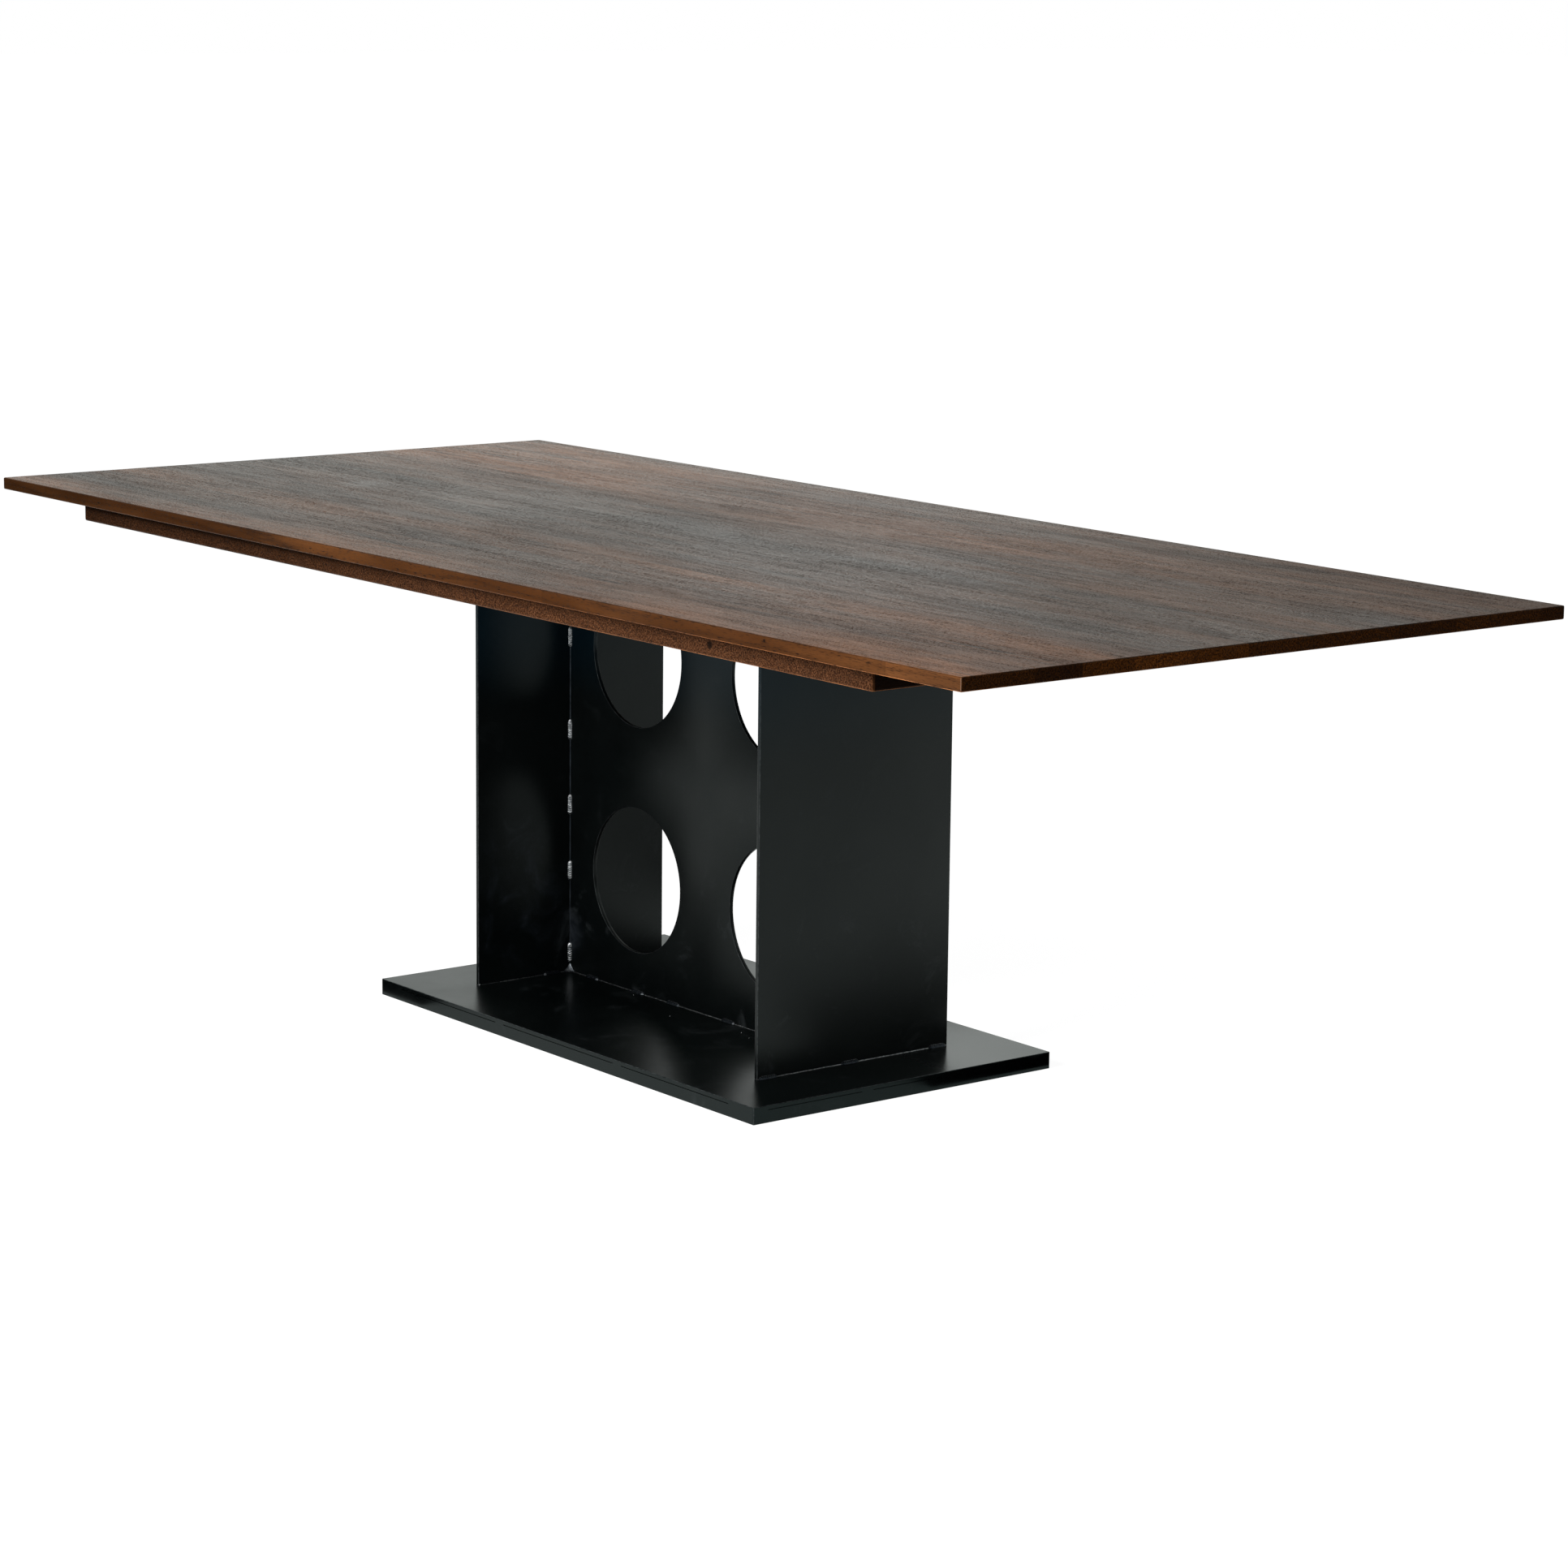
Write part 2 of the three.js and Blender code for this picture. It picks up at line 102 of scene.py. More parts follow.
# ---------------------------------------------------------------- shader graphs
class Graph:
    """Builds a node tree. Each call adds a node and returns its output socket."""

    def __init__(self, tree):
        self.tree = tree

    def feed(self, socket, value):
        """Links a socket to an output, or sets it to a number, colour or vector."""
        if isinstance(value, bpy.types.NodeSocket):
            self.tree.links.new(value, socket)
        elif value is not None:
            if socket.type == "RGBA" and len(value) == 3:
                value = (*value, 1)
            socket.default_value = value

    def add(self, kind, inputs, output=0, **settings):
        """A node with these settings, its inputs fed by name or number."""
        new = self.tree.nodes.new(kind)
        for name, value in settings.items():
            setattr(new, name, value)
        for key, value in inputs.items():
            self.feed(new.inputs[key], value)
        return new.outputs[output]

    def math(self, operation, a, b=None, c=None):
        """One sum on up to three numbers."""
        return self.add("ShaderNodeMath", {0: a, 1: b, 2: c}, operation=operation)

    def mix_numbers(self, factor, a, b):
        """Two numbers mixed."""
        return self.add("ShaderNodeMix", {0: factor, 2: a, 3: b})

    def mix(self, factor, a, b, blend="MIX"):
        """Two colours mixed."""
        return self.add("ShaderNodeMix", {0: factor, 6: a, 7: b}, 2, data_type="RGBA", blend_type=blend)

    def scaled(self, colour, factor):
        """A colour times a number."""
        return self.mix(1.0, colour, self.add("ShaderNodeCombineXYZ", {0: factor, 1: factor, 2: factor}),
                        "MULTIPLY")

    def spread(self, value, low, high, to_low=0.0, to_high=1.0):
        """Stretches low..high to to_low..to_high, clamped, with soft ends."""
        return self.add("ShaderNodeMapRange", {0: value, 1: low, 2: high, 3: to_low, 4: to_high},
                        interpolation_type="SMOOTHSTEP")

    def curve(self, value, heights):
        """A smooth curve through evenly spaced heights, as value goes from 0 to 1."""
        new = self.tree.nodes.new("ShaderNodeValToRGB")
        new.color_ramp.interpolation = "CARDINAL"
        stops = new.color_ramp.elements
        for i in range(1, len(heights) - 1):
            stops.new(i / (len(heights) - 1))
        for stop, height in zip(stops, heights):
            share = height / max(heights)
            stop.color = (share, share, share, 1)
        self.feed(new.inputs[0], value)
        return self.math("MULTIPLY", new.outputs[0], max(heights))

    def noise(self, vector, scale, detail=2.0, roughness=0.5, distortion=0.0):
        """Noise in space, from 0 to 1."""
        inputs = {"Vector": vector, "Scale": scale, "Detail": detail, "Roughness": roughness,
                  "Distortion": distortion}
        return self.add("ShaderNodeTexNoise", inputs)

    def noise_1d(self, value, scale, detail, roughness):
        """Noise along a line, from 0 to 1."""
        inputs = {"W": value, "Scale": scale, "Detail": detail, "Roughness": roughness}
        return self.add("ShaderNodeTexNoise", inputs, noise_dimensions="1D")

    def parts(self, vector):
        """A vector's X, Y and Z."""
        split = self.tree.nodes.new("ShaderNodeSeparateXYZ")
        self.feed(split.inputs[0], vector)
        return split.outputs[:3]

    def place(self):
        """Where a point of the piece is, in the table's frame, in metres."""
        return self.tree.nodes.new("ShaderNodeTexCoord").outputs["Object"]

    def normal(self):
        """The X, Y and Z of the way a face looks."""
        return self.parts(self.tree.nodes.new("ShaderNodeNewGeometry").outputs["True Normal"])

    def facing(self, axis):
        """How squarely a face looks along an axis, from 0 to 1."""
        return self.math("ABSOLUTE", self.normal()[axis])

    def on_arris(self):
        """1 on a face that slants between two sides of a board, 0 on the sides."""
        squarest = self.math("MAXIMUM", self.math("MAXIMUM", self.facing(0), self.facing(1)), self.facing(2))
        return self.spread(squarest, 0.90, 0.99, 1.0, 0.0)

    def distance(self, vector, point):
        """How far a place is from a point."""
        return self.add("ShaderNodeVectorMath", {0: vector, 1: point}, "Value", operation="DISTANCE")

    def edge_gap(self, low, high):
        """How far a point on a box's surface lies from the box's nearest edge."""
        gaps = []
        for value, a, b in zip(self.parts(self.place()), low, high):
            off_middle = self.math("ABSOLUTE", self.math("SUBTRACT", value, (a + b) / 2))
            gaps.append(self.math("SUBTRACT", (b - a) / 2, off_middle))
        nearer = self.math("MINIMUM", gaps[0], gaps[1])
        farther = self.math("MAXIMUM", gaps[0], gaps[1])
        return self.math("MAXIMUM", nearer, self.math("MINIMUM", farther, gaps[2]))

    def bump(self, height, distance, strength):
        """A normal, tilted where the height changes."""
        return self.add("ShaderNodeBump", {"Height": height, "Distance": distance, "Strength": strength})


def new_material(name, build):
    """A material whose Principled shader is fed by what build(graph) returns."""
    material = bpy.data.materials.new(name)
    material.use_nodes = True
    graph = Graph(material.node_tree)
    shader = material.node_tree.nodes["Principled BSDF"]
    for socket, value in build(graph).items():
        graph.feed(shader.inputs[socket], value)
    return material


# ---------------------------------------------------------------- walnut
WALNUT_GLOSS = 0.02  # an oiled face shines only at a glancing angle
WALNUT_ROUGHNESS = 0.225
PAINTED_UPPER_ARRIS_REFLECTION = 0.35  # painted light on the arrises: a painted dark reflection on the upper ones, painted highlights on the upright and lower ones
PAINTED_UPRIGHT_ARRIS_HIGHLIGHT = 1.2
PAINTED_LOWER_ARRIS_HIGHLIGHT = 5.0
CORNER_HIGHLIGHT_LENGTH = 2 * MM  # a painted highlight on the upright corners, where the sides end
SHADE_DEPTH = 9 * MM  # a painted shadow darkens the under layer where the top meets it
DEEPEST_SHADE = 0.25
STAVE_LENGTH = 0.741  # the edge planks are staves butted end to end
STAVE_START = -0.408
STAVE_LINE = 0.35 * MM
SEAM_LINE = 0.4 * MM
LINE_LIGHTNESS = 0.35  # of seams and joints, against the wood beside them
RING_SCALE = 190.0
FLECK_DARKNESS = 0.6  # flecks are torn pores: dark, dull and sunk
FLECK_DULLNESS = 0.32
FLECK_SINK = 0.3
PORE_DARKNESS = 0.8
PORE_DULLNESS = 0.1
GRAIN_RELIEF = 0.2 * MM


class Texture(NamedTuple):
    """Noise that is drawn out along the grain."""
    along: float  # cells to the metre along the grain
    across: float  # and across it
    detail: float
    roughness: float = 0.6
    distortion: float = 0.0
    own: float = 1.0  # 0 where it runs on from board to board, more where each has its own
    shift: float = 0.0


SWAY = Texture(2.4, 7.0, 3.0, 0.5)
BANDS = Texture(2.2, 12.0, 3.0, own=0.13)
ZONE = Texture(2.0, 9.0, 2.0, 0.5, own=0.0, shift=40.0)
CLOUD = Texture(3.2, 24.0, 2.5, 0.55, own=0.0, shift=11.0)
COOL = Texture(3.0, 17.0, 2.5, 0.55, own=0.5, shift=70.0)
MINERAL = Texture(3.4, 42.0, 3.0, distortion=0.5)
STREAK = Texture(7.5, 85.0, 3.0, 0.65, 0.6)
FIBRE = Texture(8.0, 420.0, 2.0)
CURL = Texture(130.0, 200.0, 2.0)
FLECK = Texture(420.0, 290.0, 3.0, 0.75)
GRIT = Texture(0.0, 430.0, 2.0, 0.7, own=0.0)


@dataclass
class Board:
    """A walnut board."""
    node: str
    along: int  # the axis that its grain runs along: 0 is X, 1 is Y
    heart: tuple  # the middle of its rings: a place across the board, and a level
    seed: float
    tone_of: Callable  # each of these three makes a value in a graph: how light its faces are
    painted_side_light_of: Callable  # painted light and shade on its long sides
    roughness_of: Callable  # how rough it is
    end_tone: float  # how light its sawn ends are
    end_tint: tuple = (1.0, 1.0, 1.0)
    ring_depth: float = 0.35
    pore_scale: float = 900.0
    shade_from: float = 1.0  # the level from which a painted shadow darkens its sawn ends
    staves: bool = False
    knots: Sequence = ()  # a place and a radius each
    polished: Sequence = ()  # a place, a reach and how much smoother it is there, each


class Walnut:
    """The look of a board, made in a graph."""

    def __init__(self, g, board):
        self.g = g
        self.board = board
        self.place = g.place()
        xyz = g.parts(self.place)
        self.x = xyz[0]
        self.lengthwise, self.crosswise, self.upright = xyz[board.along], xyz[1 - board.along], xyz[2]
        self.level_face = g.spread(g.facing(2), 0.5, 0.9)
        self.side_face = g.spread(g.facing(1 - board.along), 0.6, 0.95)
        self.end_face = g.spread(g.facing(board.along), 0.6, 0.95)
        self.bands, self.zone, self.cloud, self.cool, self.mineral, self.streak, self.fibre, self.curl = (
            self.texture(kind) for kind in (BANDS, ZONE, CLOUD, COOL, MINERAL, STREAK, FIBRE, CURL))
        self.rings = self.growth_rings()
        pores = self.texture(Texture(85.0, board.pore_scale, 1.5, 0.5))
        self.pores = g.math("MULTIPLY", g.spread(pores, 0.54, 0.66),
                            g.spread(self.rings, 0.40, 0.62, 0.4, 1.0))
        fleck = g.math("MULTIPLY", g.spread(self.texture(FLECK), 0.46, 0.62),
                       g.spread(self.streak, 0.44, 0.60, 0.4, 1.0))
        self.fleck = g.math("MULTIPLY", fleck, self.level_face)

    def texture(self, kind):
        """Noise of this kind."""
        g = self.g
        cell = g.add("ShaderNodeCombineXYZ", {
            0: g.math("MULTIPLY", self.lengthwise, kind.along),
            1: g.math("MULTIPLY", self.crosswise, kind.across),
            2: g.math("MULTIPLY_ADD", self.upright, kind.across, kind.own * self.board.seed + kind.shift)})
        return g.noise(cell, 1.0, kind.detail, kind.roughness, kind.distortion)

    def growth_rings(self):
        """Rings round the heart, which sway along the board and bend round its knots."""
        g, (heart_across, heart_level) = self.g, self.board.heart
        sway = g.math("MULTIPLY", g.math("SUBTRACT", self.texture(SWAY), 0.5), 0.05)
        for centre, radius in self.board.knots:
            near = g.spread(g.distance(self.place, centre), 0.0, 5 * radius, 1.0, 0.0)
            sway = g.math("MULTIPLY_ADD", near, 1.5 * radius, sway)
        side = g.math("ADD", g.math("SUBTRACT", self.crosswise, heart_across), sway)
        depth = g.math("SUBTRACT", self.upright, heart_level)
        squares = g.math("ADD", g.math("MULTIPLY", side, side), g.math("MULTIPLY", depth, depth))
        return g.noise_1d(g.math("ADD", g.math("SQRT", squares), self.board.seed), RING_SCALE, 3.5, 0.6)

    def figure(self):
        """The wood's colour before it is lit or shaded: bands, rings, grey clouds and streaks."""
        g = self.g
        colour = g.mix(g.spread(self.bands, 0.32, 0.66), RED_WALNUT, PALE_WALNUT)
        broken = g.math("MULTIPLY", g.spread(self.rings, 0.42, 0.74, 0.0, self.board.ring_depth),
                        g.spread(self.cloud, 0.4, 0.6, 0.3, 1.0))
        colour = g.mix(broken, colour, RING_WALNUT)
        colour = g.mix(g.spread(self.cool, 0.45, 0.7, 0.0, 0.4), colour, MINERAL_WALNUT)
        streaks = g.math("MULTIPLY", g.spread(self.mineral, 0.55, 0.72), g.spread(self.zone, 0.40, 0.62))
        colour = g.mix(g.math("MULTIPLY", streaks, 0.8), colour, MINERAL_WALNUT)
        return g.mix(g.spread(self.fibre, 0.3, 0.8, 0.0, 0.3), colour, RED_WALNUT)

    def lightness(self):
        """How light the wood is from place to place."""
        g = self.g
        light = g.math("MULTIPLY", g.spread(self.curl, 0.3, 0.7, 0.88, 1.12),
                       g.spread(self.cloud, 0.3, 0.7, 0.86, 1.14))
        light = g.math("MULTIPLY", light, g.spread(self.streak, 0.35, 0.7, 1.06, 0.86))
        light = g.mix_numbers(self.level_face, g.spread(self.zone, 0.3, 0.7, 0.92, 1.08), light)
        if self.board.staves:
            light = self.stave_light(light)
        low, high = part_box(self.board.node)
        across = 1 - self.board.along
        off_middle = g.math("ABSOLUTE", g.math("SUBTRACT", self.crosswise, (low[across] + high[across]) / 2))
        to_seam = g.math("SUBTRACT", (high[across] - low[across]) / 2, off_middle)
        seam = g.spread(to_seam, 0.0, SEAM_LINE, LINE_LIGHTNESS, 1.0)
        light = g.math("MULTIPLY", light, g.mix_numbers(self.level_face, 1.0, seam))
        tone = g.mix_numbers(self.side_face, self.board.tone_of(g), self.board.painted_side_light_of(g))
        return g.math("MULTIPLY", light, tone)

    def stave_light(self, light):
        """Makes each stave of an edge plank lighter or darker, with a thin line at the joints."""
        g = self.g
        turn = g.math("DIVIDE", g.math("SUBTRACT", self.lengthwise, STAVE_START), STAVE_LENGTH)
        number = g.math("ADD", g.math("FLOOR", turn), self.board.seed)
        own = g.add("ShaderNodeTexWhiteNoise", {"W": number}, "Value", noise_dimensions="1D")
        light = g.math("MULTIPLY", light, g.spread(own, 0.0, 1.0, 0.88, 1.12))
        off_middle = g.math("ABSOLUTE", g.math("SUBTRACT", g.math("FRACT", turn), 0.5))
        to_joint = g.math("MULTIPLY", g.math("SUBTRACT", 0.5, off_middle), STAVE_LENGTH)
        return g.math("MULTIPLY", light, g.spread(to_joint, 0.0, STAVE_LINE, LINE_LIGHTNESS, 1.0))

    def end_grain(self):
        """The colour of a sawn end: gritty, with a painted shadow from some level up."""
        g, board = self.g, self.board
        grit = self.texture(GRIT)
        colour = g.mix(g.spread(grit, 0.34, 0.68), DARK_END_WALNUT, PALE_END_WALNUT)
        level = g.math("MULTIPLY_ADD", grit, 6 * MM, self.upright)
        shade = g.spread(level, board.shade_from, board.shade_from + SHADE_DEPTH, 1.0, DEEPEST_SHADE)
        light = g.math("MULTIPLY", g.spread(self.rings, 0.35, 0.7, 1.1, 0.8),
                       g.spread(self.mineral, 0.35, 0.7, 1.1, 0.9))
        light = g.math("MULTIPLY", g.math("MULTIPLY", light, shade), board.end_tone)
        return g.mix(1.0, g.scaled(colour, light), board.end_tint, "MULTIPLY")

    def painted_arris_light(self):
        """Painted light: 1 on the faces. On the arrises it follows how they lean, a painted dark reflection
        on the upper ones and painted highlights on the others, which grow towards the right on the lower
        ones.
        """
        g = self.g
        lean = g.normal()[2]
        # the painted highlight on the lower arrises grows towards the right
        lower = g.spread(self.x, -0.4, 0.9, PAINTED_UPRIGHT_ARRIS_HIGHLIGHT, PAINTED_LOWER_ARRIS_HIGHLIGHT)
        light = g.math("MULTIPLY", g.spread(lean, -0.5, -0.2, lower, PAINTED_UPRIGHT_ARRIS_HIGHLIGHT),
                       g.spread(lean, 0.2, 0.5, 1.0, PAINTED_UPPER_ARRIS_REFLECTION / PAINTED_UPRIGHT_ARRIS_HIGHLIGHT))
        return g.mix_numbers(g.on_arris(), 1.0, light)

    def colour(self):
        """The wood's colour, with its end grain, painted light on the arrises, a painted highlight on the
        upright corners where the sides end, knots, pores and flecks.
        """
        g, board = self.g, self.board
        colour = g.scaled(self.figure(), self.lightness())
        colour = g.mix(self.end_face, colour, self.end_grain())
        colour = g.scaled(colour, self.painted_arris_light())
        # painted highlight on the upright corners at the table's ends
        to_end = g.math("SUBTRACT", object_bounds()[1][board.along], g.math("ABSOLUTE", self.lengthwise))
        painted_corner_highlight = g.math("MULTIPLY", self.side_face, g.spread(to_end, CORNER_HIGHLIGHT_LENGTH / 4, CORNER_HIGHLIGHT_LENGTH, 1.0, 0.0))
        colour = g.mix(painted_corner_highlight, colour, PAINTED_CORNER_HIGHLIGHT_WALNUT)
        for centre, radius in board.knots:
            core = g.spread(g.distance(self.place, centre), 0.4 * radius, radius, 0.9, 0.0)
            colour = g.mix(core, colour, PORE_WALNUT)
        colour = g.mix(g.math("MULTIPLY", self.pores, PORE_DARKNESS), colour, PORE_WALNUT)
        return g.mix(g.math("MULTIPLY", self.fleck, FLECK_DARKNESS), colour, PORE_WALNUT)

    def roughness(self):
        """Dull where the grain is torn, smooth where hands and cloths have polished it."""
        g = self.g
        rough = g.spread(self.zone, 0.3, 0.7, 0.0, 0.04)
        rough = g.math("ADD", rough, g.spread(self.streak, 0.35, 0.7, 0.0, 0.02))
        rough = g.math("ADD", rough, g.spread(self.cloud, 0.3, 0.7, 0.015, -0.015))
        for centre, reach, smoother in self.board.polished:
            rub = g.spread(g.distance(self.place, centre), 0.2 * reach, reach, smoother, 0.0)
            rough = g.math("SUBTRACT", rough, rub)
        rough = g.math("MULTIPLY_ADD", self.pores, PORE_DULLNESS, rough)
        rough = g.math("MULTIPLY_ADD", self.fleck, FLECK_DULLNESS, rough)
        return g.math("ADD", rough, self.board.roughness_of(g))

    def relief(self):
        """How the fibres stand up and the pores and flecks lie sunk."""
        g = self.g
        height = g.math("MULTIPLY_ADD", self.fibre, 0.25, g.math("MULTIPLY", self.pores, -1.0))
        height = g.math("MULTIPLY_ADD", self.curl, 0.05, height)
        return g.math("MULTIPLY_ADD", self.fleck, -FLECK_SINK, height)


def dress_in_walnut(board):
    """Gives a board's CAD node its walnut."""

    def build(g):
        wood = Walnut(g, board)
        return {
            "Base Color": wood.colour(),
            "Roughness": wood.roughness(),
            "Normal": g.bump(wood.relief(), GRAIN_RELIEF, 0.8),
            "Specular IOR Level": WALNUT_GLOSS,
        }

    dress(board.node, new_material(board.node.replace("_", " "), build))


# ---------------------------------------------------------------- steel
STEEL_GLOSS = 0.21
STEEL_TINT = (0.9, 1.0, 1.0, 1.0)  # of its reflections
PAINTED_BLUE_START = 0.45  # a painted blue reflection on the plates towards the top of the pedestal
PAINTED_BLUE_END = 0.72
HAZE_END = 0.12  # they are hazy up to here, and hardly so from the next level on
CLEAR_START = 0.32
WEAR_REACH = 1.1 * MM


def black_steel(name, low, high, gloss=STEEL_GLOSS, tint=STEEL_TINT, smudges=(), polished=()):
    """Blackened steel under satin oil, nearly black, in the box from low to high. It has a painted blue
    reflection near the top, is hazy low down, and is worn along its arrises, with painted highlights there
    too. smudges and polished are (place, reach) pairs."""

    def build(g):
        place = g.place()
        level = g.parts(place)[2]
        cloud = g.noise(place, 6.0, 4.0, 0.6)
        haze = g.noise(place, 16.0, 5.0, 0.65, 0.8)
        scuffs = g.noise(place, 120.0, 3.0, 0.6)
        specks = g.noise(place, 420.0, 3.0, 0.7)
        grain = g.noise(place, 900.0, 2.0, 0.6)

        colour = g.mix(g.spread(cloud, 0.3, 0.7), STEEL_DARK, STEEL_LIGHT)
        # painted blue reflection towards the top
        colour = g.mix(g.spread(level, PAINTED_BLUE_START, PAINTED_BLUE_END), colour, STEEL_PAINTED_BLUE_REFLECTION)
        smears = g.math("MULTIPLY", g.spread(haze, 0.56, 0.74, 0.0, 0.5),
                        g.spread(level, HAZE_END, CLEAR_START, 1.0, 0.2))
        colour = g.mix(smears, colour, STEEL_HAZE)
        colour = g.mix(g.spread(specks, 0.45, 0.75, 0.0, 0.07), colour, STEEL_HAZE)
        for centre, reach in smudges:
            near = g.spread(g.distance(place, centre), 0.2 * reach, reach, 1.0, 0.0)
            smudge = g.math("MULTIPLY", near, g.spread(haze, 0.42, 0.70, 0.0, 0.3))
            colour = g.mix(smudge, colour, STEEL_SMUDGE)

        # wear along the arrises and the rims of the holes, which also paints their highlights
        at_edge = g.spread(g.edge_gap(low, high), 0.3 * MM, WEAR_REACH, 1.0, 0.0)
        worn_and_lit_edge = g.math("MULTIPLY", at_edge, g.spread(scuffs, 0.35, 0.65, 0.15, 0.9))
        squareness = g.facing(1)
        at_rim = g.math("MULTIPLY", g.spread(squareness, 0.1, 0.3),
                        g.spread(squareness, 0.94, 0.99, 1.0, 0.0))
        worn_and_lit_rim = g.math("MULTIPLY", at_rim, g.spread(scuffs, 0.3, 0.7, 0.1, 0.8))

        roughness = g.spread(cloud, 0.25, 0.75, 0.27, 0.34)
        for centre, reach in polished:
            rub = g.spread(g.distance(place, centre), 0.3 * reach, reach, 0.52, 1.0)
            roughness = g.math("MULTIPLY", roughness, rub)
        return {
            "Base Color": g.mix(g.math("MAXIMUM", worn_and_lit_edge, worn_and_lit_rim), colour, STEEL_WEAR_AND_HIGHLIGHT),
            "Roughness": roughness,
            "Normal": g.bump(grain, 0.03 * MM, 0.5),
            "Specular IOR Level": gloss,
            "Specular Tint": tint,
        }

    return new_material(name, build)


def weld_metal():
    """Weld metal: bright where its bare attribute is 1, and blackened like the plates where it is 0."""

    def build(g):
        bare = g.add("ShaderNodeAttribute", {}, "Fac", attribute_name="bare")
        mottle = g.noise(g.place(), 420.0, 3.0, 0.65)
        bright = g.mix(g.spread(mottle, 0.35, 0.65), WELD_GREY, WELD_BRIGHT)
        soot = g.noise(g.place(), 240.0, 3.0, 0.6)
        bare = g.math("MULTIPLY", bare, g.spread(soot, 0.38, 0.58, 0.35, 1.0))
        return {
            "Base Color": g.mix(bare, WELD_DULL, bright),
            "Metallic": 1.0,
            "Roughness": g.spread(mottle, 0.2, 0.8, 0.28, 0.5),
            "Normal": g.bump(mottle, 0.05 * MM, 0.4),
        }

    return new_material("weld metal", build)


def zinc_plate():
    """The screws' bright plating."""

    def build(g):
        mottle = g.noise(g.place(), 300.0, 3.0, 0.6)
        return {
            "Base Color": g.mix(mottle, ZINC_GREY, ZINC_BRIGHT),
            "Metallic": 1.0,
            "Roughness": g.spread(mottle, 0.2, 0.8, 0.25, 0.4),
        }

    return new_material("zinc plate", build)


# ---------------------------------------------------------------- dress the CAD nodes
def dress(node, material):
    """Gives a CAD node's object a material of its own."""
    node_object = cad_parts[node]
    for slot in node_object.material_slots:
        slot.link = "OBJECT"
        slot.material = material


def middle(node):
    """The middle of a CAD node's box."""
    low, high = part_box(node)
    return (low + high) / 2


# How light the top is from its front edge to its rear one: at its left end, middle and right end.
TOP_TONES = ((2.30, 0.45, 1.30, 0.92, 0.82, 0.70, 0.80, 1.85, 2.80, 2.30, 3.50, 2.00),
             (1.20, 0.65, 0.70, 0.92, 0.50, 0.52, 0.42, 0.90, 1.08, 1.38, 1.05, 0.95),
             (2.00, 1.20, 1.05, 1.00, 0.50, 0.66, 0.56, 0.86, 0.52, 0.92, 0.82, 0.76))
# How rough it is, in the same places.
TOP_ROUGHNESS = ((0.212, 0.185, 0.176, 0.150, 0.130),
                 (0.212, 0.210, 0.215, 0.245, 0.200),
                 (0.310, 0.280, 0.245, 0.290, 0.350))
PAINTED_EDGE_LIGHT = (0.76, 0.95)  # painted light: how light the top's long edges are, up to the middle and at the right end, where more light falls
# How light each plank is against its neighbours, and how light its sawn ends are.
PLANK_TONES = (1.0, 0.86, 1.12, 0.94, 1.10, 0.88, 1.06, 0.90, 1.12, 0.96, 0.88, 1.08)
END_TONES = (0.66, 0.41, 1.10, 1.65, 1.27, 0.84, 0.72, 0.71, 0.55, 0.77, 0.66, 0.47)
END_TINT = (1.0, 0.78, 0.30)
WAVE_CELLS = (1.4, 5.0, 0.0)  # to the metre: the light and dark areas of the top wander
WAVE_DEPTH = 0.09
EDGE_KNOT_X = 0.830  # a knot in the front edge, and one in the front of the under layer
EDGE_KNOT_RADIUS = 3 * MM
UNDER_KNOT_X = 0.670
UNDER_KNOT_RADIUS = 8 * MM
# painted shade on the under layer's long sides, which lie in shade under the top
PAINTED_UNDER_SIDE_SHADE = 0.15
# Smoother places on the top: X, Y, reach, and how much smoother they are.
POLISHED_PLACES = ((-0.822, -0.082, 0.07, 0.07), (-0.49, 0.02, 0.38, 0.045))


def over_top(g, table):
    """A value that changes smoothly over the top: the table's rows are its left end, middle and right
    end, each from the front to the rear."""
    (left, front, _), (right, rear, _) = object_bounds()
    place = g.place()
    x, y, _ = g.parts(place)
    wave = g.noise(g.add("ShaderNodeVectorMath", {0: place, 1: WAVE_CELLS}, operation="MULTIPLY"), 1.0)
    y = g.math("MULTIPLY_ADD", g.math("SUBTRACT", wave, 0.5), WAVE_DEPTH, y)
    across = g.math("DIVIDE", g.math("SUBTRACT", y, front), rear - front)
    at_left, at_middle, at_right = (g.curve(across, heights) for heights in table)
    middle_x = (left + right) / 2
    value = g.mix_numbers(g.spread(x, left, middle_x), at_left, at_middle)
    return g.mix_numbers(g.spread(x, middle_x, right), value, at_right)


def painted_edge_light(g):
    """Painted light on the top's long edges: a little lighter towards the right, where more light falls."""
    return g.spread(g.parts(g.place())[0], 0.0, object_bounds()[1].x, *PAINTED_EDGE_LIGHT)


